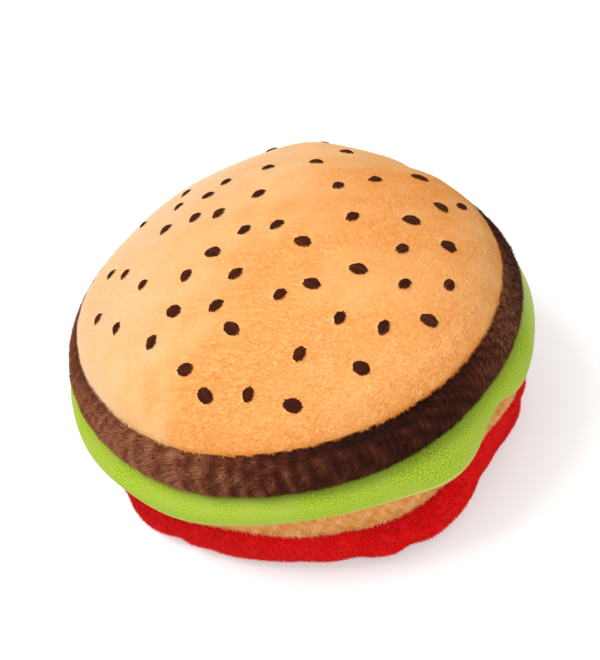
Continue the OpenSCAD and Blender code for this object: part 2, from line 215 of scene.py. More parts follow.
def lump_height(x, y):
    total = np.zeros_like(x)
    for at_x, at_y, height, length, width, turn in LUMPS:
        c, s = math.cos(math.radians(turn)), math.sin(math.radians(turn))
        dx, dy = x / MM - at_x, y / MM - at_y
        u, v = (dx * c + dy * s) / length, (dy * c - dx * s) / width
        total += height * MM * np.exp(-(u * u + v * v) / 2)
    return total


share = np.linspace(0, 1, CROWN_ROWS)[:, None]
hill = lump_height(bag[:CROWN_ROWS, :, 0], bag[:CROWN_ROWS, :, 1]) * (1 - share ** 8)
lean = 0.55 * share ** 2
bag[:CROWN_ROWS, :, 2] += hill * (1 - lean)
bag[:CROWN_ROWS, :, 0] += hill * lean * np.cos(bearing)
bag[:CROWN_ROWS, :, 1] += hill * lean * np.sin(bearing)

# %% [markdown]
# ## Helper: a mesh from rows of points
# Neighbouring rows are joined with quads. The order of each quad's corners makes the normals
# point out of the toy.


# %% Close a ring with fewer and fewer points, which subdivides well
def close_ring(spots, faces, ring, start, order):
    middle, points, share = ring.mean(axis=0), len(ring), 1.0
    while points % 5 == 0:
        fewer, share, begin = points // 5, share * 0.45, len(spots)
        step = len(ring) // fewer
        spots.extend((middle + (ring[::step] - middle) * share).tolist())
        for j in range(fewer):
            face = [start + (5 * j + k) % points for k in range(6)]
            face += [begin + (j + 1) % fewer, begin + j]
            faces.append(face[::order])
        start, points = begin, fewer
    faces.append([start + j for j in range(points)][::order])


# %% Build a mesh from points and faces, or from rows
def placed(name, mesh):
    piece = bpy.data.objects.new(name, mesh)
    bpy.context.scene.collection.objects.link(piece)
    return piece


def smooth_mesh(name, spots, faces):
    mesh = bpy.data.meshes.new(name)
    mesh.from_pydata(spots, [], faces)
    mesh.polygons.foreach_set("use_smooth", [True] * len(mesh.polygons))
    return placed(name, mesh)


def rows_mesh(name, rows, close_first=False, close_last=False):
    count, around = rows.shape[:2]
    k, i = np.meshgrid(np.arange(count - 1), np.arange(around), indexing="ij")
    n = (i + 1) % around
    quads = np.stack([k * around + i, (k + 1) * around + i, (k + 1) * around + n,
                      k * around + n], axis=2).reshape(-1, 4).tolist()
    spots = rows.reshape(-1, 3).tolist()
    if close_first:
        close_ring(spots, quads, rows[0], 0, 1)
    if close_last:
        close_ring(spots, quads, rows[-1], (count - 1) * around, -1)
    return smooth_mesh(name, spots, quads)


# %% Read a piece's surface, with its modifiers applied
def surface_of(piece):
    shown = piece.evaluated_get(bpy.context.evaluated_depsgraph_get())
    mesh = shown.to_mesh()
    mesh.calc_loop_triangles()
    spots, normals = np.empty(len(mesh.vertices) * 3), np.empty(len(mesh.vertices) * 3)
    corners = np.empty(len(mesh.loop_triangles) * 3, np.int32)
    mesh.vertices.foreach_get("co", spots)
    mesh.vertices.foreach_get("normal", normals)
    mesh.loop_triangles.foreach_get("vertices", corners)
    shown.to_mesh_clear()
    return spots.reshape(-1, 3), normals.reshape(-1, 3), corners.reshape(-1, 3)


# %% [markdown]
# ## Inflate the bag
# Blender's cloth fills the bag with pressure. The seams are pinned, the cloth beside them is a
# little longer than the seam, as on a real toy, and so it buckles into small puckers. The bag
# is simulated ten times larger, because cloth settings suit objects of about a metre. How far a
# point may move is capped, and the result is written back, so that no simulation is left.

# %% Cloth simulation with pinned seams
PUFF = 10
CAP = 2.5 * MM
CLOTH_STEPS = 20
EASE_ROWS = 6


def inflated(rows):
    rng = np.random.default_rng(5)
    start = rows.reshape(-1, 3)
    rough = start + rng.normal(0, 0.05 * MM, start.shape)
    soft = rows_mesh("bag_cloth", (rough * PUFF).reshape(rows.shape), True, True)
    row_of = np.repeat(np.arange(len(rows)), AROUND)
    seams = [crown_end, patty_end, side_start, side_end, tomato_end]
    from_seam = np.min([abs(row_of - s) for s in seams], axis=0)
    pins, ease = soft.vertex_groups.new(name="pins"), soft.vertex_groups.new(name="ease")
    sewn = (from_seam == 0) | (row_of > tomato_end)
    pins.add(np.nonzero(sewn)[0].tolist(), 1.0, "REPLACE")
    pins.add(np.nonzero(~sewn)[0].tolist(), 0.25, "REPLACE")
    for step in range(EASE_ROWS):
        eased = (from_seam == step) & (row_of <= tomato_end)
        ease.add(np.nonzero(eased)[0].tolist(), 1 - step / EASE_ROWS, "REPLACE")
    cloth = soft.modifiers.new("cloth", "CLOTH")
    s = cloth.settings
    s.quality, s.mass, s.air_damping = 6, 0.01, 2
    s.tension_stiffness = s.compression_stiffness = 12
    s.shear_stiffness, s.bending_stiffness = 4, 0.15
    s.use_pressure, s.uniform_pressure_force = True, 4
    s.vertex_group_mass, s.pin_stiffness = "pins", 0.6
    s.vertex_group_shrink, s.shrink_min, s.shrink_max = "ease", 0.0, -0.09
    s.effector_weights.gravity = 0
    cloth.collision_settings.use_collision = cloth.collision_settings.use_self_collision = False
    cloth.point_cache.frame_start, cloth.point_cache.frame_end = 1, CLOTH_STEPS
    for step in range(1, CLOTH_STEPS + 1):
        bpy.context.scene.frame_set(step)
    end = surface_of(soft)[0][:len(start)] / PUFF
    bpy.context.scene.frame_set(1)
    bpy.data.objects.remove(soft, do_unlink=True)
    moved = end - start
    far = np.linalg.norm(moved, axis=1)
    print("cloth moved, mm: mean", round(far.mean() / MM, 2), "most", round(far.max() / MM, 2))
    moved *= np.minimum(1, CAP / np.maximum(far, 1e-9))[:, None]
    return (start + moved).reshape(rows.shape)


bag = inflated(bag)

# %% [markdown]
# ## Materials of pile fabric
# Real pile is a carpet of fibres, shaded between the roots and lit at the tips; here that shade
# is painted, the roots' ramp darker than the tips'. Each fibre is geometry, and its map carries
# two numbers: the tone at its root, which is the dye with any painted light and shade, and how
# far up the fibre a point lies. Two colour ramps turn these into colour, so the backing, the
# roots and the tips belong together.


# %% Helpers for node materials
def material(name, roughness, specular, sheen=0.0, tint=(1, 1, 1)):
    made = bpy.data.materials.new(name)
    made.use_nodes = True
    shader = made.node_tree.nodes["Principled BSDF"]
    for key, value in (("Roughness", roughness), ("Specular IOR Level", specular),
                       ("Sheen Weight", sheen), ("Sheen Roughness", 0.5),
                       ("Sheen Tint", (*tint, 1))):
        shader.inputs[key].default_value = value
    return made, made.node_tree, shader


def added(tree, kind, inputs, output=0, **settings):
    """A new node; each input is linked to a socket or set to a value. Returns one output."""
    node = tree.nodes.new(kind)
    for key, value in settings.items():
        setattr(node, key, value)
    for key, value in inputs.items():
        if isinstance(value, bpy.types.NodeSocket):
            tree.links.new(value, node.inputs[key])
        else:
            node.inputs[key].default_value = value
    return node.outputs[output]


def srgb(r, g, b):
    """A colour written as on a screen, from 0 to 255, as Blender's linear colour."""
    parts = [v / 255 for v in (r, g, b)]
    return (*[v / 12.92 if v < 0.04045 else ((v + 0.055) / 1.055) ** 2.4 for v in parts], 1)


def grey(v):
    return (v, v, v, 1)


def ramp(tree, value, stops):
    """The colour that a value from 0 to 1 picks out of a ramp."""
    node = tree.nodes.new("ShaderNodeValToRGB")
    band = node.color_ramp.elements
    while len(band) < len(stops):
        band.new(0.5)
    for element, (at, colour) in zip(band, stops):
        element.position, element.color = at, colour
    tree.links.new(value, node.inputs["Fac"])
    return node.outputs["Color"]


def mixed(tree, share, first, second):
    return added(tree, "ShaderNodeMix", {0: share, 6: first, 7: second}, 2, data_type="RGBA")


def noise(tree, vector, scale, detail=3, rough=0.5):
    return added(tree, "ShaderNodeTexNoise", {"Vector": vector, "Scale": scale,
                                              "Detail": detail, "Roughness": rough}, "Fac")


def place(tree):
    return tree.nodes.new("ShaderNodeTexCoord").outputs["Object"]


def own_map(tree):
    """The map that a piece brings along, whole and as its two numbers."""
    brought = added(tree, "ShaderNodeUVMap", {}, uv_map="OFBake")
    split = tree.nodes.new("ShaderNodeSeparateXYZ")
    tree.links.new(brought, split.inputs[0])
    return brought, split.outputs["X"], split.outputs["Y"]


def relief(tree, shader, height, strength, distance):
    bent = added(tree, "ShaderNodeBump", {"Strength": strength, "Distance": distance,
                                          "Height": height})
    tree.links.new(bent, shader.inputs["Normal"])


# %% Fibre and backing materials
def fibre_material(name, tips, roots):
    made, tree, shader = material(name, roughness=0.8, specular=0.1)
    _, dye, height = own_map(tree)
    # the roots' ramp is darker, as painted shade between the fibres; how far up the fibre a point
    # lies blends it into the tips' colour
    colour = mixed(tree, height, ramp(tree, dye, roots), ramp(tree, dye, tips))
    tree.links.new(colour, shader.inputs["Base Color"])
    return made


def backing_material(name, dark, light, scale=900):
    made, tree, shader = material(name, roughness=0.95, specular=0.1, sheen=0.15, tint=light[:3])
    grain = noise(tree, place(tree), scale, 4, 0.6)
    tree.links.new(ramp(tree, grain, [(0.3, dark), (0.7, light)]), shader.inputs["Base Color"])
    relief(tree, shader, grain, 0.6, 0.4 * MM)
    return made


# %% [markdown]
# ## Helper: grow pile on a panel
# Blender's hair is meant for pictures, and it is lost when a model is exported. Fibres made as
# slim triangles stay with the model. Their roots are spread evenly over the panel with a seeded
# generator, they lean along the nap, and their normals follow the fabric, which lights the pile
# as one soft surface.


# %% Give a mesh its map of two numbers, and a piece its finish
def corner_points(mesh):
    """The number of the point at each corner of each face."""
    index = np.empty(len(mesh.loops), np.int32)
    mesh.loops.foreach_get("vertex_index", index)
    return index


def give_map(mesh, pairs):
    mesh.uv_layers.new(name="OFBake").data.foreach_set("uv", pairs.ravel())


def dress(piece, made):
    piece.data.materials.append(made)


# %% Grow fibres
def unit(v):
    return v / np.maximum(np.linalg.norm(v, axis=1, keepdims=True), 1e-12)


def scatter(piece, count, rng):
    spots, normals, corners = surface_of(piece)
    a, b, c = (spots[corners[:, j]] for j in range(3))
    size = np.linalg.norm(np.cross(b - a, c - a), axis=1)
    chosen = rng.choice(len(size), count, p=size / size.sum())
    u, v = rng.random((2, count, 1))
    u, v = np.where(u + v > 1, 1 - u, u), np.where(u + v > 1, 1 - v, v)
    roots = a[chosen] + u * (b - a)[chosen] + v * (c - a)[chosen]
    at = corners[chosen]
    lean = normals[at[:, 0]] * (1 - u - v) + normals[at[:, 1]] * u + normals[at[:, 2]] * v
    return roots, unit(lean)


ROOT_DEPTH = 0.25 * MM


def fibre_piece(name, roots, normals, ends, widths, tones, shading):
    """One triangle for each fibre, from its root to its end."""
    count = len(roots)
    along = unit(ends - roots)
    across = unit(np.cross(along, normals)) * widths[:, None] / 2
    low = roots - normals * ROOT_DEPTH
    corners = np.stack([low - across, low + across, ends], axis=1).reshape(-1, 3)
    mesh = bpy.data.meshes.new(name)
    mesh.vertices.add(3 * count)
    mesh.vertices.foreach_set("co", corners.ravel())
    mesh.loops.add(3 * count)
    mesh.loops.foreach_set("vertex_index", np.arange(3 * count, dtype=np.int32))
    mesh.polygons.add(count)
    mesh.polygons.foreach_set("loop_start", np.arange(0, 3 * count, 3, dtype=np.int32))
    mesh.polygons.foreach_set("use_smooth", np.ones(count, bool))
    mesh.update(calc_edges=True)
    # the second number runs from 0.02 at the root to 0.98 at the tip, and blends out the painted
    # root shade
    grown = np.stack([np.repeat(tones, 3), np.tile([0.02, 0.02, 0.98], count)], axis=1)
    give_map(mesh, np.clip(grown, 0.01, 0.99))
    mesh.normals_split_custom_set_from_vertices(np.repeat(shading, 3, axis=0).tolist())
    print(name, count, "fibres")
    return placed(name, mesh)


def grow(name, skin, finish, count, seed, nap, length, width, tone, keep=None, lean=(48, 66),
         stray=0.45, rough=0.16, upward=0.0, mottle=0.09):
    """nap(roots) is the way the tips point, and tone(roots) the dye with any painted light and
    shade, from 0 to 1.
    """
    rng = np.random.default_rng(seed)
    roots, normals = scatter(skin, count, rng)
    if keep is not None:
        kept = keep(roots)
        roots, normals = roots[kept], normals[kept]
    count = len(roots)
    flat = unit(nap(roots) + rng.normal(0, stray, (count, 3)))
    flat = unit(flat - (flat * normals).sum(1, keepdims=True) * normals)
    a = np.radians(rng.uniform(*lean, count))[:, None]
    way = normals * np.cos(a) + flat * np.sin(a)
    ends = roots + way * (length * rng.uniform(0.75, 1.15, count))[:, None]
    shading = unit(normals + 0.3 * flat + rng.normal(0, rough, (count, 3))
                   + np.array([0, 0, upward]))
    tones = tone(roots) + rng.normal(0, mottle, count)
    widths = width * rng.uniform(0.8, 1.25, count)
    piece = fibre_piece(name, roots, normals, ends, widths, tones, shading)
    dress(piece, finish)
    return piece


# %% [markdown]
# ## Cut the bag into panels
# Each panel is a slice of the bag's rows. Its edges turn inwards as a seam allowance, a
# subdivision smooths it, and a Solidify modifier gives the fabric its thickness.


# %% Panels
ALLOWANCE, TUCK = 5 * MM, 0.7 * MM


def tucked(row, towards_z):
    """Two more rows inside the toy, where the seam allowance lies."""
    inward = row.copy()
    inward[:, :2] *= 1 - ALLOWANCE / np.linalg.norm(row[:, :2], axis=1, keepdims=True)
    inward[:, 2] += towards_z
    middle = row * 0.6 + inward * 0.4
    middle[:, 2] = row[:, 2] + towards_z
    return [middle, inward]


def panel(name, first, last, allow_top=True, allow_low=True):
    rows = list(bag[first:last + 1])
    if allow_top:
        rows = tucked(rows[0], -TUCK)[::-1] + rows
    if allow_low:
        rows = rows + tucked(rows[-1], TUCK)
    piece = rows_mesh(name, np.array(rows), not allow_top, last == len(bag) - 1)
    subdivide(piece)
    return piece


def subdivide(piece):
    smooth = piece.modifiers.new("subdivision", "SUBSURF")
    smooth.levels = smooth.render_levels = 1


def thicken(piece, thickness=1.1 * MM, offset=-1):
    cloth = piece.modifiers.new("fabric thickness", "SOLIDIFY")
    cloth.thickness, cloth.offset = thickness, offset


crown = panel("crown_skin", 0, crown_end, allow_top=False)
patty = panel("patty_skin", crown_end, patty_end)
side = panel("side_skin", side_start, side_end)
tomato = panel("tomato_skin", side_end, tomato_end, allow_low=False)
base = panel("base_skin", tomato_end, len(bag) - 1, allow_low=False)
print("panels:", [len(p.data.polygons) for p in (crown, patty, side, tomato, base)])

# %% [markdown]
# ## The embroidered seeds
# Each seed is satin stitch: threads laid side by side that rise from one edge, cross the seed
# and dive in at the other. The construction model says where each seed lies and how it is
# turned. The threads are laid on the inflated cloth itself, so none floats or sinks.

# %% Where the seeds lie
cloth_tree = BVHTree.FromObject(crown, bpy.context.evaluated_depsgraph_get())
SEED_REACH = 9 * MM


def seed_places():
    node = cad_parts["sesame_seeds"]
    spots = surface_of(node)[0]
    places = []
    while len(spots):
        near = np.linalg.norm(spots - spots[0], axis=1) < SEED_REACH
        middle = spots[near].mean(axis=0)
        axes = np.linalg.svd(spots[near] - middle, full_matrices=False)[2]
        on_cloth, normal, _, _ = cloth_tree.find_nearest(Vector(middle))
        long_way = Vector(axes[0])
        long_way = (long_way - long_way.dot(normal) * normal).normalized()
        # the shares of a full seed's length and width; seeds far back and left are smaller
        slim = long_way.y * long_way.x > 0
        size = (0.78, 0.68) if slim else (0.9, 0.84)
        if on_cloth.x < -40 * MM and on_cloth.y > -20 * MM:
            size = (0.66, 0.52)
        elif on_cloth.y > 25 * MM:
            size = (0.74, 0.6)
        places.append((on_cloth, normal, long_way, size))
        spots = spots[~near]
    return places


seeds = seed_places()
print("seeds:", len(seeds))

# %% A thread is a closed tube
STEPS, SIDES = 7, 6


def add_thread(spots, faces, cores, across, ups, thick):
    """Add a tube of six sides along the cores; each core has its own upward way."""
    begin = len(spots)
    for core, up in zip(cores, ups):
        for m in range(SIDES):
            turn = 2 * math.pi * m / SIDES
            spots.append(core + thick / 2 * (across * math.cos(turn) + up * math.sin(turn)))
    for k in range(len(cores) - 1):
        for m in range(SIDES):
            a, b = begin + k * SIDES + m, begin + k * SIDES + (m + 1) % SIDES
            faces.append((a, b, b + SIDES, a + SIDES))
    faces.append(tuple(range(begin + SIDES - 1, begin - 1, -1)))
    faces.append(tuple(range(len(spots) - SIDES, len(spots))))


# %% Lay the satin stitches
SEED_LEN, SEED_W, THREAD, THREAD_PITCH = 7.6 * MM, 5.6 * MM, 0.46 * MM, 0.37 * MM


def satin_stitches(name):
    rng = np.random.default_rng(11)
    spots, faces, grown = [], [], []
    for middle, normal, way, (long_share, wide_share) in seeds:
        side_way = normal.cross(way)
        seed_len = SEED_LEN * long_share * rng.uniform(0.94, 1.04)
        seed_w = SEED_W * wide_share * rng.uniform(0.94, 1.04)
        threads = int(seed_w / THREAD_PITCH)
        for j in range(threads):
            v = (j + 0.5) / threads * 2 - 1
            half = seed_len / 2 * (1 - v * v) ** 0.5 + rng.uniform(-0.35, 0.25) * MM
            slide = 0.3 * MM * v + rng.uniform(-0.1, 0.1) * MM
            high = (0.6 + 0.3 * (1 - v * v)) * MM + rng.uniform(-0.08, 0.08) * MM
            tone = rng.uniform(0.2, 0.7)
            cores, ups = [], []
            for k in range(STEPS):
                u = k / (STEPS - 1) * 2 - 1
                at = middle + way * (u * half + slide) + side_way * (v * seed_w / 2)
                hit, cloth_normal, _, _ = cloth_tree.find_nearest(at)
                lift = high * (1 - abs(u) ** 3.5) - 0.15 * MM
                cores.append(hit + cloth_normal * lift)
                ups.append(cloth_normal)
            add_thread(spots, faces, cores, side_way, ups, THREAD)
            # the second number is painted shade round the thread: high on its top, low on its
            # underside
            grown += [(tone, 0.5 + 0.45 * math.sin(2 * math.pi * m / SIDES))
                      for m in range(SIDES)] * STEPS
    piece = smooth_mesh(name, spots, faces)
    give_map(piece.data, np.array(grown)[corner_points(piece.data)])
    return piece


stitches = satin_stitches("seed_stitches")
print("stitches:", len(stitches.data.polygons), "faces")

# %% [markdown]
# ## Pile of the bun top
# The dye is mottled with soft darker clouds. Light and shade are painted over it: pale cream
# near the far edge and on the left where the lamp falls, paler still at the rim there, deep
# orange in the middle, on the right and at the front, and deeper in the creases. The fibres
# stay out of the seeds, and at the seam they reach over the patty.


# %% Dye, painted light and shade, and nap of the bun top
def clouds(spots, scale, seed):
    """Soft clouds from 0 to 1, made of a few sine waves in seeded directions."""
    rng = np.random.default_rng(seed)
    total = np.zeros(len(spots))
    for _ in range(7):
        way = rng.normal(0, 1, 3)
        total += np.sin(spots @ way / (scale * MM) * rng.uniform(0.6, 1.6) + rng.uniform(0, 6.3))
    return 0.5 + total / 7


def soft_step(v, low, high):
    t = np.clip((v - low) / (high - low), 0, 1)
    return t * t * (3 - 2 * t)


def round_nap(turn, drop, swirl=0.0):
    def nap(spots):
        x, y = spots[:, 0], spots[:, 1]
        r = np.maximum(radius_of(spots), 1e-6)
        veer = swirl * (clouds(spots, 0.7, 17) - 0.5)
        return np.stack([-y / r * (turn + veer), x / r * (turn + veer), drop + veer], axis=1)
    return nap


def angle_of(spots):
    return np.degrees(np.arctan2(spots[:, 1], spots[:, 0])) % 360


def radius_of(spots):
    return np.hypot(spots[:, 0], spots[:, 1])


def above(spots, seam):
    """How far each point lies above the seam line at its own bearing."""
    return spots[:, 2] - np.interp(angle_of(spots), np.degrees(bearing), seam, period=360)


def streaks(spots, seed, along=6 * MM, across=0.8 * MM):
    """Clouds drawn out along the nap, like pile that was stroked one way."""
    x, y, z = spots.T
    drawn = np.stack([(x * 0.96 - y * 0.27) / along, (x * 0.27 + y * 0.96) / across, z * 40],
                     axis=1)
    return clouds(drawn * MM, 1, seed)


# bearing and half width (degrees) of each crease, and how much deeper its painted shade makes the
# orange (a negative value paints it paler)
PAINTED_CREASE_SHADE = [(299, 1.6, 0.2), (307, 1.3, 0.25), (288, 1.5, 0.12), (238, 2, 0.2), (352, 1.6, 0.15),
           (226, 1.5, -0.12)]


def crown_dye_and_painted_light(spots):
    x, y = spots[:, 0] / MM, spots[:, 1] / MM
    r = np.hypot(x, y)
    # painted light and shade: pale cream on the lit left and far side, deep orange on the shaded
    # right and front
    painted_shade_side = soft_step(x - 0.9 * y, -66, 44)
    patches = 0.36 * (clouds(spots, 8, 3) - 0.5) + 0.2 * (clouds(spots, 4, 4) - 0.5)
    patches += 0.12 * (streaks(spots, 8) - 0.5)
    # painted crease shade: each crease deepens the orange towards the rim; the one at 226 is
    # painted paler
    for at, width, strength in PAINTED_CREASE_SHADE:
        patches += strength * hill_at(angle_of(spots), at, width) * soft_step(r, 50, 70)
    # painted sheen: paler at the rim on the lit side; painted shade: deeper orange at the front;
    # painted light: paler at the far side
    return (0.06 + 0.8 * painted_shade_side + patches - 0.2 * soft_step(r, 66, 81) * (1 - painted_shade_side)
            + 0.26 * soft_step(-y, 30, 70) - 0.22 * soft_step(y, 25, 65))


def crown_nap(spots):
    away = np.stack([spots[:, 0], spots[:, 1], np.zeros(len(spots))], axis=1) / crown_r
    swirl = clouds(spots, 16, 9)[:, None] - 0.5
    rim = soft_step(radius_of(spots), crown_r - 9 * MM, crown_r - 2 * MM)
    return (np.array([-0.9, 0.35, 0]) + away * (0.6 + 1.5 * rim[:, None])
            + swirl * np.array([0.3, 1.0, 0]))


def clear_of_seeds(spots):
    keep = np.ones(len(spots), bool)
    for middle, normal, way, size in seeds:
        middle, normal, way = np.array(middle), np.array(normal), np.array(way)
        off = spots - middle
        u = off @ way / (SEED_LEN / 2 * size[0])
        v = off @ np.cross(normal, way) / (SEED_W / 2 * size[1])
        keep &= (u * u + v * v > 0.75) | (abs(off @ normal) > 4 * MM)
    return keep


# second ramp: the roots, painted darker as shade between the fibres
crown_fibre = fibre_material(
    "bun top pile",
    [(0, srgb(242, 212, 172)), (0.35, srgb(241, 202, 148)), (0.7, srgb(236, 176, 102)),
     (1, srgb(234, 152, 64))],
    [(0, srgb(238, 198, 154)), (0.35, srgb(237, 188, 128)), (0.7, srgb(232, 162, 88)),
     (1, srgb(224, 138, 52))])


def on_top(spots):
    return clear_of_seeds(spots) & (above(spots, crown_seam) > 1.2 * MM)


def rim_tufts(spots):
    return (radius_of(spots) > crown_r - 2 * MM) & (clouds(spots, 1.1, 36) > 0.47)


crown_pile = grow("crown_pile", crown, crown_fibre, 190000, 21, crown_nap, 1.9 * MM, 0.13 * MM,
                  crown_dye_and_painted_light, on_top, lean=(70, 84), stray=0.13, rough=0.06, upward=0.2,
                  mottle=0.05)
crown_down = grow("crown_down", crown, crown_fibre, 190000, 35, crown_nap, 1.6 * MM, 0.12 * MM,
                  crown_dye_and_painted_light, clear_of_seeds, lean=(66, 82), stray=0.16, rough=0.08, upward=0.2,
                  mottle=0.05)
crown_fringe = grow("crown_fringe", crown, crown_fibre, 160000, 31, round_nap(0.25, -1.0, 1.5),
                    2.2 * MM, 0.34 * MM, lambda s: crown_dye_and_painted_light(s) + 0.05, rim_tufts,
                    lean=(68, 88), upward=1.0)
dress(crown, backing_material("bun top backing", srgb(233, 166, 98), srgb(245, 193, 128)))

# %% [markdown]
# ## Pile of the patty, the side band, the tomato and the base
# The strips were cut with their nap running round the toy. On the patty, the lighter brown of
# the fibres' lit flanks on one side and the dark between them on the other are painted into the
# dye by bearing, and so are the shade of its ripples and the shadow under the bun top's edge.

# %% Dye of the strips, with the patty's painted light and shade
def patty_dye_and_painted_light(spots):
    angles = angle_of(spots)
    # painted light and shade of the nap: lighter brown round bearings 222, 345, 150 and 60, darker
    # round 303
    light = 0.75 * hill_at(angles, 222, 26) + 1.5 * hill_at(angles, 345, 22)
    light += 0.5 * hill_at(angles, 150, 30) + 0.4 * hill_at(angles, 60, 35)
    light -= 0.27 * hill_at(angles, 303, 18)
    turn = np.radians(angles)
    # painted highlights and shaded valleys along the vertical ripples, strongest at the front left
    ripple = 0.15 * np.sin(72 * turn + 4 * np.sin(7 * turn)) * (0.07 + hill_at(angles, 240, 20))
    x, y, z = spots.T
    tufts = clouds(np.stack([x, y, z * 0.25], axis=1), 0.7, 6) - 0.5
    clumps = (0.3 + 0.24 * hill_at(angles, 300, 28)) * tufts + 0.12 * (clouds(spots, 3, 7) - 0.5)
    # painted shadow under the bun top's edge: the patty is darker near its top
    high = soft_step(spots[:, 2], crown_z - 4 * MM, crown_z)
    return 0.245 + light * 0.78 + ripple + clumps - 0.2 * high


def even_tone(middle, spread, scale, seed):
    return lambda spots: middle + spread * (clouds(spots, scale, seed) - 0.5)


# second ramp: the roots, painted darker as shade between the fibres
patty_fibre = fibre_material(
    "patty pile",
    [(0, srgb(40, 11, 5)), (0.4, srgb(100, 46, 26)), (0.75, srgb(152, 88, 56)),
     (1, srgb(196, 130, 94))],
    [(0, srgb(18, 4, 2)), (0.5, srgb(52, 18, 9)), (1, srgb(100, 46, 26))])


def near_crown(spots):
    left = hill_at(angle_of(spots), 215, 30)
    tufts = clouds(spots, 0.9, 33)
    return ((above(spots, crown_seam) > -2.2 * MM) & (radius_of(spots) > 78 * MM)
            & (tufts > 0.6 - 0.12 * left))


patty_pile = grow("patty_pile", patty, patty_fibre, 105000, 22, round_nap(-0.9, -0.4, 1.2),
                  2.1 * MM, 0.25 * MM, patty_dye_and_painted_light, lean=(54, 72), stray=0.25)
patty_fringe = grow("patty_fringe", patty, patty_fibre, 130000, 34, round_nap(-0.5, 1.0, 1.5),
                    2.2 * MM, 0.32 * MM, lambda s: patty_dye_and_painted_light(s) - 0.05, near_crown,
                    lean=(60, 86))
dress(patty, backing_material("patty backing", srgb(40, 18, 12), srgb(66, 34, 24)))

# %% Pile of the side band, which reaches over the tomato
# second ramp: the roots, painted darker as shade between the fibres
side_fibre = fibre_material(
    "side band pile",
    [(0, srgb(252, 208, 144)), (0.5, srgb(245, 180, 100)), (1, srgb(232, 146, 64))],
    [(0, srgb(228, 150, 78)), (1, srgb(196, 106, 38))])


def near_tomato(spots):
    return (above(spots, tomato_seam) < 2.4 * MM) & (radius_of(spots) > 77 * MM)


side_pile = grow("side_pile", side, side_fibre, 90000, 23, round_nap(0.35, -1), 1.9 * MM,
                 0.24 * MM, even_tone(0.5, 1.0, 0.9, 12), stray=0.3)
side_fringe = grow("side_fringe", side, side_fibre, 110000, 32, round_nap(0.3, -1.0, 1.8),
                   3.0 * MM, 0.3 * MM, even_tone(0.2, 0.6, 0.9, 18), near_tomato,
                   lean=(55, 80), upward=0.9)
dress(side, backing_material("side band backing", srgb(196, 128, 74), srgb(224, 160, 100)))

# %% Pile of the tomato and the base, and the fabric's thickness
# second ramp: the roots, painted darker as shade between the fibres
tomato_fibre = fibre_material(
    "tomato pile",
    [(0, srgb(255, 50, 42)), (0.5, srgb(252, 14, 14)), (1, srgb(240, 4, 10))],
    [(0, srgb(244, 8, 12)), (1, srgb(214, 2, 8))])
tomato_pile = grow("tomato_pile", tomato, tomato_fibre, 110000, 24, round_nap(0.5, -0.8),
                   1.4 * MM, 0.24 * MM, even_tone(0.45, 0.6, 1.3, 13), lean=(46, 68), rough=0.1)
dress(tomato, backing_material("tomato backing", srgb(140, 2, 8), srgb(190, 8, 14)))

base_pile = grow("base_pile", base, side_fibre, 60000, 25,
                 lambda s: np.tile([1.0, 0.2, 0], (len(s), 1)), 1.3 * MM, 0.3 * MM,
                 even_tone(0.5, 0.5, 9, 14), lean=(60, 75))
dress(base, side.data.materials[0])
for skin in (crown, patty, side, tomato, base):
    thicken(skin)

# %% [markdown]
# ## The lettuce collar
# The lettuce is one strip of thin fleece, folded double, with both cut edges sewn into the seam
# under the patty. It is modelled as a single sheet that runs out of the seam, down to the fold
# and back, and the fold hangs in slow waves.

# %% Fold the fleece
# bearing (degrees), lift or reach (mm) and half width (degrees)
HEM = [(207, 3.4, 10), (228, -1.2, 8), (261, 2.4, 13), (297, -3, 7), (314.5, 7, 5.5), (340, 0.6, 8),
       (10, 2, 10), (38, -2.6, 9), (66, 2.4, 9), (95, -2, 10), (128, 2.2, 10), (160, -2.4, 11)]
FLARE = [(206, 1, 10), (296, 2.0, 8), (314, -1.4, 6), (225, 0.6, 12), (38, 1, 10),
         (95, 0.8, 10), (160, 1, 11)]
LAYER = 0.8 * MM
HEM_Z, HEM_R = 36.4 * MM, 86.0 * MM
HELD_R = (74.6, 77, 79.2)
hem_z = wavy(HEM_Z, HEM)
hem_r = wavy(HEM_R, FLARE)
collar_z = (patty_seam + side_seam) / 2


def fold_line(t):
    """A point of the fold's centre line for every bearing, from the seam (0) to the hem (1)."""
    start_r, out_r = side_top_r, hem_r + 0.9 * MM
    points = [(start_r + 0 * hem_r, collar_z), (out_r, collar_z - 0.7 * MM),
              (out_r + 0.3 * MM, collar_z - 4 * MM), (hem_r, hem_z + LAYER)]
    weights = [(1 - t) ** 3, 3 * t * (1 - t) ** 2, 3 * t * t * (1 - t), t ** 3]
    return (sum(w * p[0] for w, p in zip(weights, points)),
            sum(w * p[1] for w, p in zip(weights, points)))


def fold_rows():
    upper, lower = [], []
    for t in np.linspace(0, 1, 12):
        r, z = fold_line(t)
        r2, z2 = fold_line(t + 0.01)
        r1, z1 = fold_line(t - 0.01)
        run = np.hypot(r2 - r1, z2 - z1)
        out_r, out_z = -(z2 - z1) / run, (r2 - r1) / run
        upper.append((r + LAYER * out_r, z + LAYER * out_z))
        lower.append((r - LAYER * out_r, z - LAYER * out_z))
    r, z = fold_line(1)
    down_r, down_z = (r2 - r1) / run, (z2 - z1) / run
    turn = [(r + LAYER * (math.cos(a) * out_r + math.sin(a) * down_r),
             z + LAYER * (math.cos(a) * out_z + math.sin(a) * down_z))
            for a in np.radians([36, 72, 108, 144])]
    inner = [(np.full(AROUND, v * MM), collar_z + LAYER) for v in HELD_R]
    outer = [(rr, zz - 2 * LAYER) for rr, zz in inner]
    path = inner + upper + turn + lower[::-1] + outer[::-1]
    return np.array([ring(rr, zz) for rr, zz in path])


fleece_rows = fold_rows()
lettuce = rows_mesh("lettuce_fleece", fleece_rows)
subdivide(lettuce)

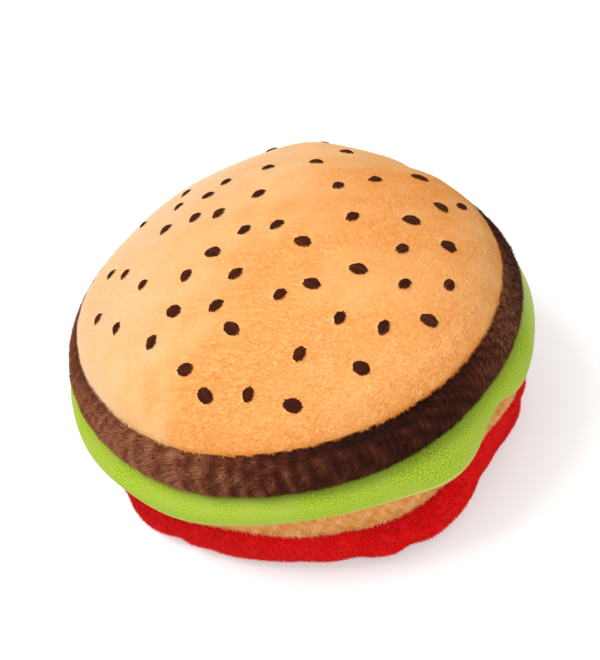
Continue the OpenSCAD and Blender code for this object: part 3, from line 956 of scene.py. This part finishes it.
# %% Lay the strip's map flat: along the strip, then across it
corner = corner_points(lettuce.data)
row_at, step_at = corner // AROUND, corner % AROUND
step_at = np.where((step_at == 0) & (np.repeat(step_at.reshape(-1, 4).max(axis=1), 4) > 2),
                   AROUND, step_at)
give_map(lettuce.data, np.stack([0.01 + 0.98 * step_at / AROUND,
                                 0.01 + 0.98 * row_at / (len(fleece_rows) - 1)], axis=1))

# %% Fleece material, with its ribs running across the fold and a painted sheen on the right
RIBS = (1050, 76, 1)
fleece, tree, shader = material("lettuce fleece", roughness=0.9, specular=0.1, sheen=0.1,
                                tint=(0.85, 1, 0.5))
strip, along_strip, across_strip = own_map(tree)
stretched = added(tree, "ShaderNodeMapping", {"Vector": strip, "Scale": RIBS})
rib = noise(tree, stretched, 1.0, 2, 0.55)
shades = ramp(tree, rib, [(0.3, srgb(104, 132, 14)), (0.5, srgb(144, 170, 38)),
                          (0.72, srgb(184, 208, 74))])
wear = ramp(tree, noise(tree, place(tree), 60), [(0.35, grey(0)), (0.75, grey(1))])
worn = mixed(tree, wear, shades, srgb(154, 172, 64))
edge = ramp(tree, across_strip, [(0.4, grey(0)), (0.46, grey(0.75)), (0.54, grey(0.75)),
                                 (0.6, grey(0))])
pale = mixed(tree, edge, worn, srgb(212, 214, 126))
# painted sheen: both ends of the strip, on the right side of the toy, turn pale
painted_sheen_right = ramp(tree, along_strip, [(0, grey(0.8)), (0.06, grey(0.8)), (0.15, grey(0)),
                                 (0.92, grey(0)), (1, grey(0.8))])
tree.links.new(mixed(tree, painted_sheen_right, pale, srgb(210, 218, 150)), shader.inputs["Base Color"])
relief(tree, shader, rib, 0.25, 0.3 * MM)
dress(lettuce, fleece)

# %% Fuzz and the fleece's thickness
# second ramp: the roots, painted darker as shade between the fibres
fuzz_fibre = fibre_material("lettuce fuzz",
                            [(0, srgb(150, 175, 40)), (1, srgb(192, 206, 104))],
                            [(0, srgb(116, 144, 22)), (1, srgb(154, 174, 56))])
# painted sheen: the fuzz tips turn paler round bearing 12, on the right side
fuzz = grow("lettuce_fuzz", lettuce, fuzz_fibre, 70000, 26, round_nap(0.3, -0.3), 0.3 * MM,
            0.07 * MM, lambda s: 0.2 + 0.75 * hill_at(angle_of(s), 12, 28),
            lambda s: radius_of(s) > 83 * MM, lean=(40, 80), stray=1.2)
thicken(lettuce, 1.2 * MM, 0)

# %% [markdown]
# ## The stuffing and the backing cloth
# Behind the seeds a thin cloth holds the embroidery, and two wads of polyester fibre fill the
# bag round the squeaker. All three follow the inflated bag from inside, so nothing pokes out.


# %% Backing cloth and stuffing
def inner_rows(first, last, depth):
    rows = bag[first:last + 1].copy()
    skin = rows_mesh("inner_probe", bag, True, True)
    normals = np.empty(len(skin.data.vertices) * 3)
    skin.data.vertices.foreach_get("normal", normals)
    bpy.data.objects.remove(skin, do_unlink=True)
    normals = normals.reshape(-1, 3)[:len(bag) * AROUND].reshape(bag.shape)
    return rows - depth * normals[first:last + 1]


BACKING_ROWS, BACKING_DEPTH, FILL_DEPTH = 24, 1.5 * MM, 3.4 * MM
backing = rows_mesh("backing_cloth", inner_rows(0, BACKING_ROWS, BACKING_DEPTH), True)
thicken(backing, 0.4 * MM)

# %% Two wads that meet at the squeaker, each with half of its pocket
SPLIT_Z = 50 * MM
NECK_R = 7.6
GAP = 0.4 * MM
bulb_low, bulb_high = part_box("squeaker_bulb")
POCKET_R, POCKET_RISE = bulb_high.x + GAP, bulb_high.z - SPLIT_Z + GAP


def pocket_rows(side_of):
    """From the pocket's middle out to its rim; side_of is 1 above the squeaker and -1 below."""
    return [ring(POCKET_R * math.cos(a) ** 0.6, SPLIT_Z + side_of * POCKET_RISE * math.sin(a))
            for a in np.radians([86, 75, 62, 50, 38, 26, 13, 0])]


inside = inner_rows(0, len(bag) - 1, FILL_DEPTH)
higher = [row for row in inside if row[:, 2].min() > SPLIT_Z + 0.5 * MM]
lower = [row for row in inside[len(higher):] if row[:, 2].max() < SPLIT_Z - 0.5 * MM]
rim = inside[len(higher)].copy()
rim[:, 2] = SPLIT_Z
upper_rows = np.array(higher + [rim] + pocket_rows(1)[::-1])
upper_wad = rows_mesh("upper_stuffing", upper_rows, True, True)
neck = [ring(r * MM, bulb_low.z - 1.6 * MM) for r in (1, NECK_R)]
neck += [ring(NECK_R * MM, SPLIT_Z - POCKET_RISE)]
lower_pocket = [row for row in pocket_rows(-1) if np.hypot(*row[0, :2]) > 8 * MM]
lower_rows = np.array(neck + lower_pocket + [rim] + lower)
lower_wad = rows_mesh("lower_stuffing", lower_rows, True, True)
print("stuffing faces:", len(upper_wad.data.polygons), len(lower_wad.data.polygons))

# %% [markdown]
# ## Stitches that close the bag
# After stuffing, the last gap is closed by hand at the back, between the side band and the
# tomato. Each stitch crosses the valley of the seam and pulls the two panels together.

# %% Hand stitches at the back
def closing_threads(name, count=12, pitch=5 * MM, thread=0.5 * MM):
    upper, lower = bag[side_end - 1], bag[side_end + 1]
    spots, faces = [], []
    for i in range(count):
        turned = math.pi / 2 + (i - (count - 1) / 2) * pitch / side_low_r
        at = turned / (2 * math.pi) * AROUND
        a, part = int(at), at - int(at)
        start, end = (row[a] * (1 - part) + row[a + 1] * part for row in (upper, lower))
        out = Vector((start[0], start[1], 0)).normalized()
        round_way = out.cross(Vector((0, 0, 1)))
        cores = []
        for t in np.linspace(0, 1, STEPS):
            core = Vector(start * (1 - t) + end * t) + round_way * (0.8 * MM * (t - 0.5))
            cores.append(core + out * (0.5 + 1.2 * math.sin(math.pi * t)) * MM)
        add_thread(spots, faces, cores, round_way, [-out] * STEPS, thread)
    return smooth_mesh(name, spots, faces)


closing = closing_threads("closing_threads")

# %% [markdown]
# ## The remaining finishes
# Thread is twisted from plies, so it has fine slanting ridges. The stuffing is a tangle of
# crimped fibre, the backing cloth a plain weave, and the squeaker is moulded plastic with a
# faintly uneven gloss.


# %% Thread, fibre, cloth and plastic
def thread_material(name, dark, light):
    made, tree, shader = material(name, roughness=0.5, specular=0.4, sheen=0.2, tint=light[:3])
    twist = added(tree, "ShaderNodeTexWave", {"Vector": place(tree), "Scale": 900}, "Fac",
                  bands_direction="DIAGONAL")
    shades = ramp(tree, twist, [(0.2, dark), (0.8, light)])
    tree.links.new(shades, shader.inputs["Base Color"])
    relief(tree, shader, twist, 0.5, 0.1 * MM)
    return made


seed_thread, tree, shader = material("seed thread", roughness=0.75, specular=0.05)
_, dye, height = own_map(tree)
dyed = ramp(tree, dye, [(0, srgb(54, 22, 11)), (0.6, srgb(74, 32, 17)), (1, srgb(130, 76, 50))])
# painted shade: each thread's underside is dark brown, its top takes the dye
tree.links.new(mixed(tree, height, srgb(36, 10, 4), dyed), shader.inputs["Base Color"])
dress(stitches, seed_thread)

dress(closing, thread_material("closing thread", srgb(170, 84, 50), srgb(222, 150, 100)))
stuffing = backing_material("polyester fibre", srgb(214, 214, 208), srgb(246, 246, 242), 300)
weave = backing_material("backing weave", srgb(214, 208, 196), srgb(244, 240, 230), 1500)
plastic = backing_material("moulded plastic", srgb(222, 222, 214), srgb(238, 238, 232), 200)
for piece, made in ((upper_wad, stuffing), (lower_wad, stuffing), (backing, weave)):
    dress(piece, made)

CARRIED = {
    "squeaker_bulb": plastic, "squeaker_insert": plastic,
    "squeaker_reed": backing_material("reed plastic", srgb(180, 184, 190),
                                      srgb(204, 208, 214), 400),
    "crown_seam_thread": thread_material("crown thread", srgb(214, 160, 104), srgb(246, 214, 168)),
    "collar_seam_thread": thread_material("collar thread", srgb(128, 160, 52), srgb(176, 204, 96)),
    "tomato_seam_thread": thread_material("tomato thread", srgb(160, 10, 16), srgb(214, 40, 44)),
    "patty_join_thread": thread_material("patty thread", srgb(48, 26, 18), srgb(88, 54, 40)),
    "side_join_thread": thread_material("side thread", srgb(190, 130, 76), srgb(230, 180, 124)),
}
CARRIED["base_seam_thread"] = CARRIED["tomato_seam_thread"]
for name, finish in CARRIED.items():
    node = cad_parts[name]
    node.data.materials.clear()
    dress(node, finish)

# %% [markdown]
# ## Attach the pieces
# Every piece rides on the toy's single body and hides the solid that it replaces, and the table
# lists the finish of each piece.

# %% Ride and replace
HANDED = [
    (crown, "bun_pile", ["bun_crown"]),
    (crown_pile, "bun_pile", []), (crown_down, "bun_pile", []), (crown_fringe, "bun_pile", []),
    (side_fringe, "side_pile", []), (patty_fringe, "patty_pile", []),
    (patty, "patty_pile", ["patty_band"]), (patty_pile, "patty_pile", []),
    (side, "side_pile", ["bun_side_band"]), (side_pile, "side_pile", []),
    (tomato, "tomato_pile", ["tomato_band"]), (tomato_pile, "tomato_pile", []),
    (base, "side_pile", ["bun_base"]), (base_pile, "side_pile", []),
    (lettuce, "lettuce_fleece", ["lettuce_collar"]), (fuzz, "lettuce_fleece", []),
    (stitches, "seed_thread", ["sesame_seeds"]),
    (backing, "backing_cloth", ["embroidery_backing"]),
    (upper_wad, "filling_fibre", ["upper_filling"]),
    (lower_wad, "filling_fibre", ["lower_filling"]),
    (closing, "sewing_thread", ["closing_stitches"]),
]
for piece, finish, nodes in HANDED:
    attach(piece, "root")
    if nodes:
        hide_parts(*nodes)
print("pieces:", len(HANDED))

# %% [markdown]
# ## Camera
# The camera looks down at 40 degrees from the front, 0.6 m from the toy, and is rolled a little,
# so that the toy leans to the left in the frame. It is aimed beside the toy's middle instead of
# being shifted.

# %% Make the camera
TARGET = Vector((0, 0, crown_z))
DISTANCE, ELEVATION, ROLL = 0.6, math.radians(40), math.radians(14.7)
LENS, SENSOR, LONG_SIDE = 89.5, 36, 660
AIM_RIGHT, AIM_DOWN = 12.5, 34  # pixels
focal = LENS / SENSOR * LONG_SIDE
forward = Vector((0, math.cos(ELEVATION), -math.sin(ELEVATION)))
right, up = Vector((1, 0, 0)), Vector((0, math.sin(ELEVATION), math.cos(ELEVATION)))
across = math.cos(ROLL) * right - math.sin(ROLL) * up
upward = math.sin(ROLL) * right + math.cos(ROLL) * up
aim = (forward + across * AIM_RIGHT / focal - upward * AIM_DOWN / focal).normalized()
back = -aim
across = (across - across.dot(back) * back).normalized()
turned = Matrix((across, back.cross(across), back)).transposed().to_4x4()

camera = bpy.data.objects.new("camera", bpy.data.cameras.new("camera"))
camera.matrix_world = Matrix.Translation(TARGET - forward * DISTANCE) @ turned
camera.data.lens, camera.data.sensor_width = LENS, SENSOR
camera.data.clip_start = 0.01
bpy.context.scene.collection.objects.link(camera)
bpy.context.scene.camera = camera

# %% [markdown]
# ## Floor and light
# A wide soft lamp above and to the left, a weaker one in front and a pale world light the toy as
# in a tent of thin white cloth. The floor adds a little light of its own towards the camera
# only, more of it far away, so that it shows white and still keeps the toy's soft shadow.


# %% Floor
def looked_at(tree):
    """1 for rays that come straight from the eye, or by way of a shiny or clear surface."""
    path = tree.nodes.new("ShaderNodeLightPath")
    seen = path.outputs["Is Camera Ray"]
    for kind in ("Is Glossy Ray", "Is Transmission Ray"):
        seen = added(tree, "ShaderNodeMath", {0: seen, 1: path.outputs[kind]}, operation="ADD")
    return seen


FLOOR_HALF, NEAR, FAR = 3, 0.5, 1.6  # metres
FLOOR_GLOW, FAR_GLOW = 0.26, 0.55


def floor_piece():
    mesh = bpy.data.meshes.new("studio_floor")
    h = FLOOR_HALF
    mesh.from_pydata([(-h, -h, 0), (h, -h, 0), (h, h, 0), (-h, h, 0)], [], [(0, 1, 2, 3)])
    made, tree, shader = material("white paper", roughness=0.9, specular=0.1)
    shades = ramp(tree, noise(tree, place(tree), 40, 2), [(0, grey(0.86)), (1, grey(0.9))])
    tree.links.new(shades, shader.inputs["Base Color"])
    reach = added(tree, "ShaderNodeVectorMath", {0: place(tree)}, "Value", operation="LENGTH")
    level = added(tree, "ShaderNodeMapRange", {
        "Value": reach, "From Min": NEAR, "From Max": FAR,
        "To Min": FLOOR_GLOW, "To Max": FAR_GLOW}, "Result")
    glow = added(tree, "ShaderNodeMath", {0: looked_at(tree), 1: level}, operation="MULTIPLY")
    shader.inputs["Emission Color"].default_value = grey(1)
    tree.links.new(glow, shader.inputs["Emission Strength"])
    mesh.materials.append(made)
    return placed("studio_floor", mesh)


floor_piece()


# %% Lamps and world
def lamp(name, spot, size, power, aim_at=(0, 0, 0.05)):
    light = bpy.data.lights.new(name, "AREA")
    light.shape, light.size, light.energy = "DISK", size, power
    way = Vector(aim_at) - Vector(spot)
    placed(name, light).matrix_world = (Matrix.Translation(spot)
                                        @ way.to_track_quat("-Z", "Y").to_matrix().to_4x4())


lamp("softbox_left", (-0.68, 0.1, 1.15), 0.9, 13)
lamp("softbox_front", (0.2, -1.1, 0.7), 0.9, 7)
SKY = 0.64
world = bpy.data.worlds.new("studio")
bpy.context.scene.world = world
world.use_nodes = True
tree = world.node_tree
background = tree.nodes["Background"]
background.inputs["Color"].default_value = grey(1)
level = added(tree, "ShaderNodeMapRange", {"Value": looked_at(tree), "To Min": SKY, "To Max": 1},
              "Result")
tree.links.new(level, background.inputs["Strength"])
bpy.context.scene.view_settings.view_transform = "Standard"
